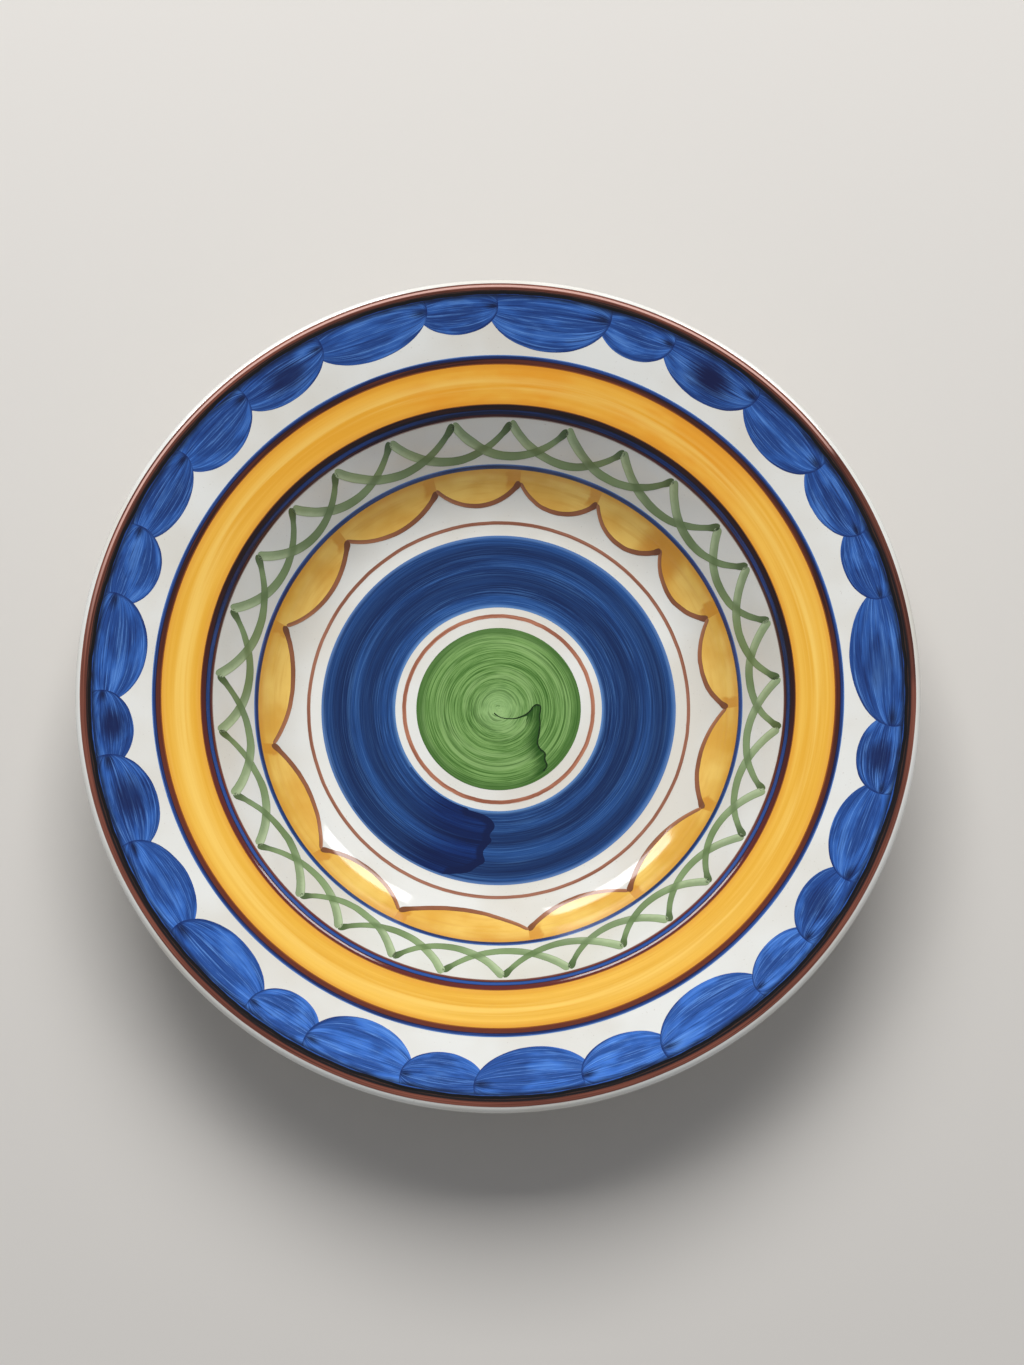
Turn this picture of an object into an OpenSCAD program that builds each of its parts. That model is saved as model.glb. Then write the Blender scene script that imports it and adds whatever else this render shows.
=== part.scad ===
// Hand-painted glazed serving plate with a deep well.
// A wheel-thrown clay body stands on a luted foot ring. White glaze covers its
// front and back, and brush-laid colours stand a little proud of the front glaze.
// Millimetres, +Z up. The origin is on the axis, in the plane that the foot rests on.
// Angles are counter-clockwise from +X, as seen from above.

/* [Body] */
// Outer diameter over the lip
rim_d = 320; // [290:5:390]
// Width of the flange, from the lip's edge in to the shoulder
flange_w = 47.5; // [40:0.5:58]
// Radial run of the well's straight wall
wall_run = 22; // [18:0.5:27]
// Radius of the concave cove between wall and floor
cove_r = 32; // [24:1:39]
// Slope of the well's wall, in degrees
wall_angle = 50; // [42:1:60]
// Slope of the flange, in degrees
flange_angle = 20; // [15:1:25]
// Radius of the rounded shoulder between wall and flange
shoulder_r = 4; // [2:0.5:6]
// Radius of the soft corner under the shoulder
armpit_r = 12; // [6:1:20]
// Thickness of the fired clay
clay_t = 5.4; // [4.4:0.1:6.6]
// Thickness of the white glaze
glaze_t = 0.6; // [0.4:0.1:0.8]

/* [Foot ring] */
// How far the foot ring reaches out past the edge of the flat floor above it
foot_reach = 3; // [0:0.5:6]
// Radial width of the foot ring
foot_w = 8; // [6:0.5:12]
// Height of the glazed underside above the resting plane
foot_h = 5.4; // [4.5:0.1:8]
// Depth of the groove in the clay that the foot ring is luted into
foot_seat = 0.8; // [0.4:0.1:1.2]
// Rounding of the foot ring's two lower edges
foot_edge_r = 1.2; // [0.5:0.1:2]
// Bare margin between the foot ring and the glaze around it
foot_bare_w = 1.5; // [0.5:0.5:3]

/* [Rim colours] */
// How far a coat of colour stands proud of the glaze
paint_t = 0.2; // [0.15:0.05:0.3]
// White edge left outside the first brown line
lip_white_w = 2; // [1.5:0.1:2.5]
// Width of each brown line on the lip
lip_brown_w = 1.2; // [0.8:0.1:1.5]
// White between the two brown lines on the lip
lip_gap_w = 0.5; // [0.3:0.1:0.8]
// Width of the black line that the petals hang from
lip_black_w = 1.6; // [1:0.1:2]
// White between the deepest petal and the blue line
petal_margin = 2.2; // [1:0.1:4]
// Depth of the deepest petal
petal_depth = 19.6; // [14:0.2:22]
// Distance from the black line to a petal's widest place
petal_neck = 4; // [2:0.5:6]
// Width of a petal at its neck, as a share of its widest
petal_neck_share = 0.95; // [0.85:0.01:1]
// How far each petal runs on under the next one, in degrees
petal_lap = 1.8; // [0.5:0.1:2.5]
// Width of the blue line outside the yellow band
flange_blue_w = 1.5; // [1:0.1:2]
// Width of the brown line outside the yellow band
flange_brown_w = 2; // [1:0.1:2.5]

/* [Shoulder and wall colours] */
// How far outside the shoulder's corner the yellow band ends
shoulder_lines_out = 1.4; // [0.5:0.1:2]
// Width of the dark brown line inside the yellow band
shoulder_brown_w = 1.9; // [1:0.1:2.2]
// Width of the blue line on the shoulder
shoulder_blue_w = 1.6; // [1:0.1:2]
// Width of the maroon line below the shoulder
shoulder_maroon_w = 0.9; // [0.6:0.1:1.2]
// Radial width of the white belt that holds the lattice
lattice_w = 14.4; // [11:0.2:17]
// Gap between the lattice's lowest strokes and the blue line below them
lattice_margin = 2; // [1:0.1:3]
// Width of a green lattice stroke
lattice_stroke = 1.9; // [1:0.1:2.4]
// Width of the blue line below the lattice
wall_blue_w = 1.5; // [1:0.1:2]
// Radial depth of the ochre above a scallop's cusps
scallop_band_w = 4.4; // [3:0.2:6]
// Radial depth of a scallop below its cusps
scallop_depth = 8; // [5:0.2:10]
// Width of the brown line that edges the scallops
scallop_line_w = 1; // [0.6:0.1:1.5]

/* [Floor colours] */
// White between the scallops' lowest points and the brown ring
floor_white_w = 5; // [2:0.1:7]
// Width of the brown ring outside the blue band
floor_brown_w = 0.9; // [0.6:0.1:1.5]
// White between the brown ring and the blue band
blue_margin = 4.8; // [2:0.1:6]
// Width of the blue band
blue_band_w = 29.2; // [24:0.2:34]
// White between the blue band and the brown ring inside it
inner_margin = 2.6; // [1:0.1:4]
// Width of the brown ring inside the blue band
inner_brown_w = 1.6; // [0.8:0.1:2]
// White between the inner brown ring and the green disc
disc_margin = 4.1; // [2:0.1:6]

/* [Hidden] */
// Angle where each petal starts, and its depth as a share of the deepest one.
PETALS = [
    [354, 0.98], [13, 0.7], [23, 0.74], [34.5, 0.86], [48.3, 0.86], [63, 0.75],
    [73, 1], [90, 0.7], [100.5, 0.83], [117, 0.8], [130.5, 0.88], [143, 0.75],
    [155.5, 0.86], [166, 0.97], [180.5, 0.75], [190, 0.95], [203.2, 0.88], [217, 0.92],
    [232, 0.8], [241.5, 0.99], [256, 0.75], [266.5, 0.9], [282, 0.78], [294, 0.95],
    [310, 0.7], [320, 0.82], [330.5, 0.89], [344, 0.8]
];
// Angles of the tips where one lattice stroke ends and another starts.
LATTICE_TIPS = [
    3.5, 15.5, 27.5, 37.5, 51, 63, 75.5, 87.5, 99.5, 113, 126, 137.5, 149.5, 162, 176,
    187.5, 201, 212.5, 226, 236, 248.5, 259, 271, 284.5, 296, 306.5, 318, 329.5, 340, 353
];
// Angle of each cusp between two scallops.
SCALLOP_CUSPS = [
    -1, 22.5, 44, 64, 84.5, 106, 132.5, 159.5, 190, 219.5, 244.5, 277.5, 304.5, 332.5
];
// Where the blue band's second lap starts, and its ragged end as [angle, share of width].
LAP_START = 222;
LAP_END = [
    [254, 0.94], [260, 0.87], [262.5, 0.76], [265.5, 0.7], [263.5, 0.57], [265.5, 0.47],
    [267.5, 0.4], [265.5, 0.33], [268.5, 0.23], [267.5, 0.14], [263, 0.06], [254, 0.05]
];
// The dark heel where the brush left the green disc, as shares of the disc's radius.
GREEN_HEEL = [
    [0.43, 0.01], [0.5, 0.05], [0.54, -0.02], [0.51, -0.2], [0.46, -0.42], [0.5, -0.52],
    [0.66, -0.67], [0.6, -0.74], [0.42, -0.84], [0.2, -0.9], [0.3, -0.76], [0.4, -0.5],
    [0.44, -0.25]
];

rim_r = rim_d / 2;
body_t = clay_t + 2 * glaze_t;
lip_r = body_t / 2;
arc_step = 2.5;
tall = 300;

// The eating surface: floor, cove, wall, shoulder, flange and lip.
floor_z = foot_h + body_t;
shoulder_x = rim_r - flange_w;
cove_end_x = shoulder_x - wall_run;
floor_r = cove_end_x - cove_r * sin(wall_angle);
foot_out = floor_r + foot_reach;
foot_in = foot_out - foot_w;
cove_centre = [floor_r, floor_z + cove_r];
shoulder_z = cove_centre.y - cove_r * cos(wall_angle) + wall_run * tan(wall_angle);
lip_x = rim_r - lip_r;
lip_centre = [
    lip_x,
    shoulder_z + (lip_x - shoulder_x) * tan(flange_angle) - lip_r / cos(flange_angle)
];
// From the corner where wall and flange would meet, towards the clay side, for each
// millimetre that both lines are moved that way.
corner_step = -(normal(wall_angle) + normal(flange_angle))
    / (1 + cos(wall_angle - flange_angle));
shoulder_centre = [shoulder_x, shoulder_z] + shoulder_r * corner_step;
armpit_centre = [shoulder_x, shoulder_z] + (body_t + armpit_r) * corner_step;

// Radii of the painted rings, from the lip inwards.
lip_brown_out = rim_r - lip_white_w;
lip_brown2_out = lip_brown_out - lip_brown_w - lip_gap_w;
lip_black_out = lip_brown2_out - lip_brown_w;
petal_out = lip_black_out - lip_black_w;
flange_blue_out = petal_out - petal_depth - petal_margin;
flange_brown_out = flange_blue_out - flange_blue_w;
yellow_out = flange_brown_out - flange_brown_w;
yellow_in = shoulder_x + shoulder_lines_out;
shoulder_blue_out = yellow_in - shoulder_brown_w;
maroon_out = shoulder_blue_out - shoulder_blue_w;
lattice_out = maroon_out - shoulder_maroon_w;
wall_blue_out = lattice_out - lattice_w;
ochre_out = wall_blue_out - wall_blue_w;
cusp_r = ochre_out - scallop_band_w;
scallop_low = cusp_r - scallop_depth;
floor_brown_out = scallop_low - scallop_line_w / 2 - floor_white_w;
blue_band_out = floor_brown_out - floor_brown_w - blue_margin;
blue_band_in = blue_band_out - blue_band_w;
inner_brown_out = blue_band_in - inner_margin;
green_r = inner_brown_out - inner_brown_w - disc_margin;

function petal_name(i) = str("petal_", i < 10 ? "0" : "", i);
function normal(slope) = [-sin(slope), cos(slope)];
function polar(r, a) = [r * cos(a), r * sin(a)];
function reversed(list) = [for (i = [len(list) - 1 : -1 : 0]) list[i]];
// Points of an arc from angle a0 to a1, however it turns.
function arc(centre, r, a0, a1) =
    let (n = ceil(abs(a1 - a0) / arc_step))
    [for (i = [0 : n]) centre + polar(r, a0 + (a1 - a0) * i / n)];

// The front surface moved outwards by t, from the axis to the lip's outermost point.
function front(t) = concat(
    [[0, floor_z + t]],
    arc(cove_centre, cove_r - t, -90, wall_angle - 90),
    arc(shoulder_centre, shoulder_r + t, 90 + wall_angle, 90 + flange_angle),
    arc(lip_centre, lip_r + t, 90 + flange_angle, 0)
);

// The back surface moved outwards by t, from the axis to the lip's outermost point.
function back(t) = concat(
    [[0, floor_z - body_t - t]],
    arc(cove_centre, cove_r + body_t + t, -90, wall_angle - 90),
    arc(armpit_centre, armpit_r - t, 90 + wall_angle, 90 + flange_angle),
    arc(lip_centre, lip_r + t, flange_angle - 90, 0)
);

// Section of the thrown shape, shrunk on all sides by d.
module section(d) {
    polygon(concat(front(-d), reversed(back(-d))));
}

// Radial slice of the section plane.
module slice(r_in, r_out) {
    translate([r_in, -1]) square([r_out - r_in, tall]);
}

// A ring of one coat on the front, from t0 to t1 above the glaze.
module coat(r_in, r_out, t0 = 0, t1 = paint_t) {
    rotate_extrude($fn = 180) intersection() {
        polygon(concat(front(t1), reversed(front(t0))));
        slice(r_in, r_out);
    }
}

// A flat outline brought down onto the front as one coat of colour.
module brushed(r_in, r_out, t0 = 0, t1 = paint_t) {
    intersection() {
        coat(r_in, r_out, t0, t1);
        linear_extrude(tall) children();
    }
}

// Pie slice from angle a0 to a1, reaching past radius r.
module wedge(a0, a1, r) {
    polygon([[0, 0], polar(r, a0), polar(r / cos((a1 - a0) / 2), (a0 + a1) / 2), polar(r, a1)]);
}

// Disc whose edge hangs from radius r_tip at a0 and a1 down to r_low between them,
// drawn smaller by inset.
module hanging_disc(a0, a1, r_tip, r_low, inset = 0) {
    half = (a1 - a0) / 2;
    chord = r_tip * sin(half);
    sag = r_tip * cos(half) - r_low;
    bow_r = (chord * chord + sag * sag) / (2 * sag);
    rotate((a0 + a1) / 2) translate([r_low + bow_r, 0]) circle(bow_r - inset, $fn = 144);
}

// Section of the foot ring, up into its groove in the clay.
module foot_outline() {
    top = foot_h + glaze_t + foot_seat;
    polygon(concat(
        [[foot_in, top]],
        arc([foot_in + foot_edge_r, foot_edge_r], foot_edge_r, 180, 270),
        arc([foot_out - foot_edge_r, foot_edge_r], foot_edge_r, 270, 360),
        [[foot_out, top]]
    ));
}

module clay_body() {
    color("peru") rotate_extrude($fn = 180) difference() {
        section(glaze_t);
        foot_outline();
    }
}

module foot_ring() {
    color("peru") rotate_extrude($fn = 180) foot_outline();
}

module front_glaze() {
    color("ivory") rotate_extrude($fn = 180) polygon(concat(front(0), reversed(front(-glaze_t))));
}

// Glaze on the back, kept clear of the foot ring, between two radii.
module under_glaze(r_in, r_out) {
    color("ivory") rotate_extrude($fn = 180) intersection() {
        polygon(concat(back(0), reversed(back(-glaze_t))));
        slice(r_in, r_out);
    }
}

module back_glaze() {
    under_glaze(foot_out + foot_bare_w, rim_r + 1);
}

module base_glaze() {
    under_glaze(0, foot_in - foot_bare_w);
}

module lip_brown_line() {
    color("sienna") coat(lip_brown_out - lip_brown_w, lip_brown_out);
}

module lip_brown_line_inner() {
    color("sienna") coat(lip_black_out, lip_brown2_out);
}

module lip_black_line() {
    color("black") coat(petal_out, lip_black_out);
}

// Outline of petal i: half an ellipse below its widest place, and above it a neck that
// draws in towards the rim. The coat is cut where the neck meets the black line.
module petal_shape(i) {
    start = PETALS[i][0];
    next = PETALS[(i + 1) % len(PETALS)][0];
    end = next + petal_lap + (next < start ? 360 : 0);
    middle = (start + end) / 2;
    half = (end - start) / 2;
    waist_r = petal_out - petal_neck;
    depth = PETALS[i][1] * petal_depth - petal_neck;
    polygon(concat(
        [polar(rim_r, middle - petal_neck_share * half)],
        [for (u = [0 : 15 : 180]) polar(waist_r - depth * sin(u), middle - half * cos(u))],
        [polar(rim_r, middle + petal_neck_share * half)]
    ));
}

module petal(i) {
    color("royalblue") brushed(flange_blue_out, petal_out) difference() {
        petal_shape(i);
        petal_shape((i + 1) % len(PETALS));
    }
}

module flange_blue_line() {
    color("navy") coat(flange_brown_out, flange_blue_out);
}

module flange_brown_line() {
    color("maroon") coat(yellow_out, flange_brown_out);
}

module yellow_band() {
    color("orange") coat(yellow_in, yellow_out);
}

module shoulder_brown_line() {
    color("maroon") coat(shoulder_blue_out, yellow_in);
}

module shoulder_blue_line() {
    color("steelblue") coat(maroon_out, shoulder_blue_out);
}

module shoulder_maroon_line() {
    color("maroon") coat(lattice_out, maroon_out);
}

// Green strokes, each hanging from one tip to the next but one.
module green_lattice() {
    n = len(LATTICE_TIPS);
    r_low = wall_blue_out + lattice_margin + lattice_stroke / 2;
    color("darkseagreen") brushed(wall_blue_out, lattice_out) for (i = [0 : n - 1]) {
        a0 = LATTICE_TIPS[i];
        a1 = LATTICE_TIPS[(i + 2) % n] + (i + 2 >= n ? 360 : 0);
        intersection() {
            wedge(a0 - 1, a1 + 1, rim_r);
            difference() {
                hanging_disc(a0, a1, lattice_out, r_low, -lattice_stroke / 2);
                hanging_disc(a0, a1, lattice_out, r_low, lattice_stroke / 2);
            }
        }
    }
}

module wall_blue_line() {
    color("navy") coat(ochre_out, wall_blue_out);
}

// Outlines of all scallops, drawn smaller by inset. A cut_to beyond inset leaves only
// the edge between the two.
module scallops(inset, cut_to = 0) {
    n = len(SCALLOP_CUSPS);
    for (i = [0 : n - 1]) {
        a0 = SCALLOP_CUSPS[i];
        a1 = SCALLOP_CUSPS[(i + 1) % n] + (i + 1 >= n ? 360 : 0);
        intersection() {
            wedge(a0, a1, rim_r);
            difference() {
                hanging_disc(a0, a1, cusp_r, scallop_low, inset);
                if (cut_to > inset) {
                    hanging_disc(a0, a1, cusp_r, scallop_low, cut_to);
                }
            }
        }
    }
}

module ochre_scallops() {
    color("goldenrod") brushed(scallop_low, ochre_out)
        scallops(scallop_line_w / 2);
}

module scallop_outline() {
    color("saddlebrown") brushed(scallop_low - scallop_line_w, ochre_out)
        scallops(-scallop_line_w / 2, scallop_line_w / 2);
}

module floor_brown_ring() {
    color("sienna") coat(floor_brown_out - floor_brown_w, floor_brown_out);
}

module blue_band() {
    color("mediumblue") coat(blue_band_in, blue_band_out);
}

// The band's second lap, one coat higher, with a ragged end.
module blue_band_lap() {
    width = blue_band_out - blue_band_in;
    start_turns = [LAP_START : 4 : LAP_END[0][0] - 1];
    color("midnightblue") brushed(blue_band_in, blue_band_out, paint_t, 2 * paint_t)
        polygon(concat(
            [for (a = start_turns) polar(blue_band_in + width * 0.95, a)],
            [for (p = LAP_END) polar(blue_band_in + width * p[1], p[0])],
            reversed([for (a = start_turns) polar(blue_band_in + width * 0.05, a)])
        ));
}

module inner_brown_ring() {
    color("sienna") coat(inner_brown_out - inner_brown_w, inner_brown_out);
}

module green_disc() {
    color("forestgreen") coat(0, green_r);
}

module green_heel() {
    color("darkgreen") brushed(0, green_r, paint_t, 2 * paint_t)
        polygon(green_r * GREEN_HEEL);
}

clay_body();
foot_ring();
front_glaze();
back_glaze();
base_glaze();
lip_brown_line();
lip_brown_line_inner();
lip_black_line();
for (i = [1 : len(PETALS)]) {
    petal(i - 1);
}
flange_blue_line();
flange_brown_line();
yellow_band();
shoulder_brown_line();
shoulder_blue_line();
shoulder_maroon_line();
green_lattice();
wall_blue_line();
ochre_scallops();
scallop_outline();
floor_brown_ring();
blue_band();
blue_band_lap();
inner_brown_ring();
green_disc();
green_heel();
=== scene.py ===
"""A hand-painted, glazed serving plate: thrown clay, white glaze and brush-laid colours.

All lengths are in metres. MM turns millimetres into metres. The plate's axis is Z and it
stands on z = 0. Angles are in degrees, counter-clockwise from +X as seen from above.
"""

import math
import random

import bpy
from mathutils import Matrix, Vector


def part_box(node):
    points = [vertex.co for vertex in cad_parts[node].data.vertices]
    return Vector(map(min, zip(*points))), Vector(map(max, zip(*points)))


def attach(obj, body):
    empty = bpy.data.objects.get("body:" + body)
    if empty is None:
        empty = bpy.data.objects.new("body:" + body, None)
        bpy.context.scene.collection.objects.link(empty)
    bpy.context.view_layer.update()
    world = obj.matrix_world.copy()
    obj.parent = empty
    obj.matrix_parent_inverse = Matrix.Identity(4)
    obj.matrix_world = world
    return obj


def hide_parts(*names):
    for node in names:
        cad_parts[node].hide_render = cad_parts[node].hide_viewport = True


MM = 0.001
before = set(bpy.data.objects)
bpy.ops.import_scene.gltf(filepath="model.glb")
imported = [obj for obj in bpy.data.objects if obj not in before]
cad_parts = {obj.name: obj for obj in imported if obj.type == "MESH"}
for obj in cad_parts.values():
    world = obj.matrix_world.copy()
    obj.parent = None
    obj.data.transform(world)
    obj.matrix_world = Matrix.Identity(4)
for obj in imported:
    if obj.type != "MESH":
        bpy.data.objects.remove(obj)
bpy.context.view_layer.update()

# ---------------------------------------------------------------- the plate's sizes


def outer_radius(node):
    """Outer radius of a round node."""
    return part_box(node)[1].x


# The thrown shape: floor, cove, wall, shoulder, flange and lip. A run is a width seen from above.
FLANGE_W = 47.5 * MM
WALL_RUN = 22 * MM
COVE_R = 32 * MM
WALL_DEG, FLANGE_DEG = 50, 20
WALL_SLOPE, FLANGE_SLOPE = math.radians(WALL_DEG), math.radians(FLANGE_DEG)
SHOULDER_R = 4 * MM
ARMPIT_R = 12 * MM
GLAZE_T = 0.6 * MM
RIM_R = outer_radius("front_glaze")
FLOOR_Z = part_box("green_disc")[0].z
FOOT_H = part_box("base_glaze")[0].z
BODY_T = FLOOR_Z - FOOT_H
FOOT_OUT = outer_radius("foot_ring")
FOOT_W = 8 * MM
FOOT_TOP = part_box("foot_ring")[1].z
FOOT_EDGE_R = 1.2 * MM
BARE_W = 1.5 * MM

LIP_R = BODY_T / 2
SHOULDER_X = RIM_R - FLANGE_W
COVE_END_X = SHOULDER_X - WALL_RUN
FLOOR_R = COVE_END_X - COVE_R * math.sin(WALL_SLOPE)
COVE_CENTRE = Vector((FLOOR_R, FLOOR_Z + COVE_R))
SHOULDER_Z = COVE_CENTRE.y - COVE_R * math.cos(WALL_SLOPE) + WALL_RUN * math.tan(WALL_SLOPE)
LIP_X = RIM_R - LIP_R
LIP_CENTRE = Vector((
    LIP_X,
    SHOULDER_Z + (LIP_X - SHOULDER_X) * math.tan(FLANGE_SLOPE) - LIP_R / math.cos(FLANGE_SLOPE),
))


def normal(slope):
    """Upward normal of a straight run with this slope, in the section plane."""
    return Vector((-math.sin(slope), math.cos(slope)))


CORNER_STEP = -(normal(WALL_SLOPE) + normal(FLANGE_SLOPE)) / (
    1 + math.cos(WALL_SLOPE - FLANGE_SLOPE)
)
SHOULDER_CENTRE = Vector((SHOULDER_X, SHOULDER_Z)) + SHOULDER_R * CORNER_STEP
ARMPIT_CENTRE = Vector((SHOULDER_X, SHOULDER_Z)) + (BODY_T + ARMPIT_R) * CORNER_STEP

# Radii where one colour gives way to the next, from the lip inwards.
LIP_BROWN_OUT = outer_radius("lip_brown_line")
LIP_BROWN2_OUT = outer_radius("lip_brown_line_inner")
LIP_BLACK_OUT = outer_radius("lip_black_line")
PETAL_OUT = LIP_BLACK_OUT - 1.6 * MM
FLANGE_BLUE_OUT = outer_radius("flange_blue_line")
FLANGE_BROWN_OUT = outer_radius("flange_brown_line")
YELLOW_OUT = outer_radius("yellow_band")
SHOULDER_BROWN_OUT = outer_radius("shoulder_brown_line")
SHOULDER_BLUE_OUT = outer_radius("shoulder_blue_line")
MAROON_OUT = outer_radius("shoulder_maroon_line")
LATTICE_OUT = MAROON_OUT - 0.9 * MM
WALL_BLUE_OUT = outer_radius("wall_blue_line")
OCHRE_OUT = WALL_BLUE_OUT - 1.5 * MM
CUSP_R = OCHRE_OUT - 4.4 * MM
SCALLOP_LOW = CUSP_R - 8 * MM
FLOOR_BROWN_OUT = outer_radius("floor_brown_ring")
BLUE_BAND_OUT = outer_radius("blue_band")
BLUE_BAND_IN = BLUE_BAND_OUT - 29.2 * MM
INNER_BROWN_OUT = outer_radius("inner_brown_ring")
GREEN_R = outer_radius("green_disc")

PETAL_DEPTH = 19.6 * MM
PETAL_NECK = 4 * MM
PETAL_LAP = 1.8

# How far one coat of colour stands above the glaze, and a second coat above the first.
COAT = 0.06 * MM
SECOND_COAT = 0.1 * MM

# Each petal's start, its depth as a share of the deepest, how pale its blue is, and how
# dark the pool of colour in its middle is.
# Paleness differs a little from petal to petal, and is much higher on the near side: there it is
# painted sheen.
PETALS = [
    (354, 0.98, 0.15, 0.45), (13, 0.7, 0.25, 0.1), (23, 0.74, 0.15, 0.25),
    (34.5, 0.86, 0.2, 0.1), (48.3, 0.86, 0.05, 1.0), (63, 0.75, 0.25, 0.1),
    (73, 1.0, 0.2, 0.05), (90, 0.7, 0.15, 0.15), (100.5, 0.83, 0.2, 0.1),
    (117, 0.8, 0.15, 0.85), (130.5, 0.88, 0.25, 0.1), (143, 0.75, 0.15, 0.3),
    (155.5, 0.86, 0.25, 0.15), (166, 0.97, 0.25, 0.1), (180.5, 0.75, 0.1, 0.9),
    (190, 0.95, 0.3, 0.8), (203.2, 0.88, 0.5, 0.2), (217, 0.92, 0.6, 0.05),
    (232, 0.8, 0.65, 0.1), (241.5, 0.99, 0.75, 0.0), (256, 0.75, 0.55, 0.2),
    (266.5, 0.9, 0.75, 0.1), (282, 0.78, 0.85, 0.0), (294, 0.95, 0.75, 0.0),
    (310, 0.7, 0.6, 0.1), (320, 0.82, 0.35, 0.5), (330.5, 0.89, 0.4, 0.15),
    (344, 0.8, 0.15, 0.8),
]
# Angles at which the lattice strokes start, and at which one scallop meets the next.
LATTICE_TIPS = [
    3.5, 15.5, 27.5, 37.5, 51, 63, 75.5, 87.5, 99.5, 113, 126, 137.5, 149.5, 162, 176,
    187.5, 201, 212.5, 226, 236, 248.5, 259, 271, 284.5, 296, 306.5, 318, 329.5, 340, 353,
]
SCALLOP_CUSPS = [
    -1, 22.5, 44, 64, 84.5, 106, 132.5, 159.5, 190, 219.5, 244.5, 277.5, 304.5, 332.5,
]

chance = random.Random(7)

# ---------------------------------------------------------------- shaping tools


def edit():
    bpy.ops.object.mode_set(mode="EDIT")


def leave_edit():
    bpy.ops.object.mode_set(mode="OBJECT")


def settle():
    """Puts the active piece's place, turn and size into its mesh."""
    bpy.ops.object.transform_apply(location=True, rotation=True, scale=True)


def extrude(step):
    bpy.ops.mesh.extrude_region_move(TRANSFORM_OT_translate={"value": tuple(step)})


def weld():
    """Selects the whole piece and merges the points that coincide."""
    bpy.ops.mesh.select_all(action="SELECT")
    bpy.ops.mesh.remove_doubles(threshold=MM / 1000)


def close_up():
    """Turns every face of the piece outwards and ends the editing."""
    bpy.ops.mesh.select_all(action="SELECT")
    bpy.ops.mesh.normals_make_consistent(inside=False)
    leave_edit()


def select_only(piece):
    bpy.ops.object.select_all(action="DESELECT")
    piece.select_set(True)
    bpy.context.view_layer.objects.active = piece


def polar(radius, angle):
    turn = math.radians(angle)
    return Vector((radius * math.cos(turn), radius * math.sin(turn)))


def arc(centre, radius, start, end, step=2.5):
    """Points of an arc in the section plane, from one angle in degrees to another."""
    count = max(1, math.ceil(abs(end - start) / step))
    return [centre + polar(radius, start + (end - start) * k / count) for k in range(count + 1)]


def front(lift, step=2.0):
    """The eating surface raised by lift, from the axis to the lip's outermost point."""
    return [
        Vector((0, FLOOR_Z + lift)),
        *arc(COVE_CENTRE, COVE_R - lift, -90, WALL_DEG - 90, step),
        *arc(SHOULDER_CENTRE, SHOULDER_R + lift, 90 + WALL_DEG, 90 + FLANGE_DEG, step),
        *arc(LIP_CENTRE, LIP_R + lift, 90 + FLANGE_DEG, 0, step * 2),
    ]


def back(lift, step=2.0):
    """The underside pushed out by lift, from the axis to the lip's outermost point."""
    return [
        Vector((0, FLOOR_Z - BODY_T - lift)),
        *arc(COVE_CENTRE, COVE_R + BODY_T + lift, -90, WALL_DEG - 90, step),
        *arc(ARMPIT_CENTRE, ARMPIT_R - lift, 90 + WALL_DEG, 90 + FLANGE_DEG, step),
        *arc(LIP_CENTRE, LIP_R + lift, FLANGE_DEG - 90, 0, step * 2),
    ]


def beyond(points, radius):
    """The part of a section line that lies outside a radius, cut exactly there."""
    for k, (near, far) in enumerate(zip(points, points[1:])):
        if near.x <= radius < far.x:
            share = (radius - near.x) / (far.x - near.x)
            return [near.lerp(far, share), *points[k + 1:]]
    return points


def within(points, radius):
    """The part of a section line that lies inside a radius, cut exactly there."""
    for k, (near, far) in enumerate(zip(points, points[1:])):
        if near.x < radius <= far.x:
            share = (radius - near.x) / (far.x - near.x)
            return [*points[:k + 1], near.lerp(far, share)]
    return points


def spaced(points, longest):
    """The same line with its long straight runs divided."""
    line = [points[0]]
    for near, far in zip(points, points[1:]):
        count = max(1, math.ceil((far - near).length / longest))
        line += [near.lerp(far, k / count) for k in range(1, count + 1)]
    return line


def draw_closed(name, places):
    """Starts a piece: one vertex, extruded from place to place of an outline and back."""
    bpy.ops.object.select_all(action="DESELECT")
    bpy.ops.mesh.primitive_plane_add(size=MM, location=places[0])
    piece = bpy.context.object
    piece.name = piece.data.name = name
    settle()
    edit()
    bpy.ops.mesh.merge(type="CENTER")
    for here, there in zip(places, [*places[1:], places[0]]):
        extrude(there - here)
    weld()
    return piece


def turned(name, points, around=360, start=0, steps=288):
    """Draws a closed section and turns it about the plate's axis into a closed body."""
    piece = draw_closed(name, [Vector((point.x, 0, point.y)) for point in points])
    if around < 360:
        bpy.ops.mesh.edge_face_add()
    bpy.ops.mesh.spin(
        steps=steps, angle=math.radians(around), center=(0, 0, 0), axis=(0, 0, -1)
    )
    weld()
    close_up()
    if start:
        piece.rotation_euler.z = math.radians(start)
        settle()
    return piece


def coat_section(r_in, r_out, low, high, longest=2.5 * MM):
    """Outline of a thin coat on the front between two radii and two heights above it."""
    upper = spaced(within(beyond(front(high), r_in), r_out), longest)
    lower = within(beyond(front(low), r_in), r_out)
    return upper + lower[::-1]


def coat_ring(name, r_in, r_out, low=0.0, high=COAT, steps=288):
    return turned(name, coat_section(r_in, r_out, low, high), steps=steps)


def coat_sector(name, r_in, r_out, start, end, low=0.0, high=COAT, longest=1.2 * MM):
    points = coat_section(r_in, r_out, low, high, longest)
    return turned(name, points, end - start, start, steps=math.ceil((end - start) / 0.7))


def apply_all(piece):
    select_only(piece)
    for modifier in list(piece.modifiers):
        bpy.ops.object.modifier_apply(modifier=modifier.name)


def cut(piece, cutter, operation):
    tool = piece.modifiers.new("cut", "BOOLEAN")
    tool.operation = operation
    tool.solver = "MANIFOLD"
    tool.object = cutter
    apply_all(piece)


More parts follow.
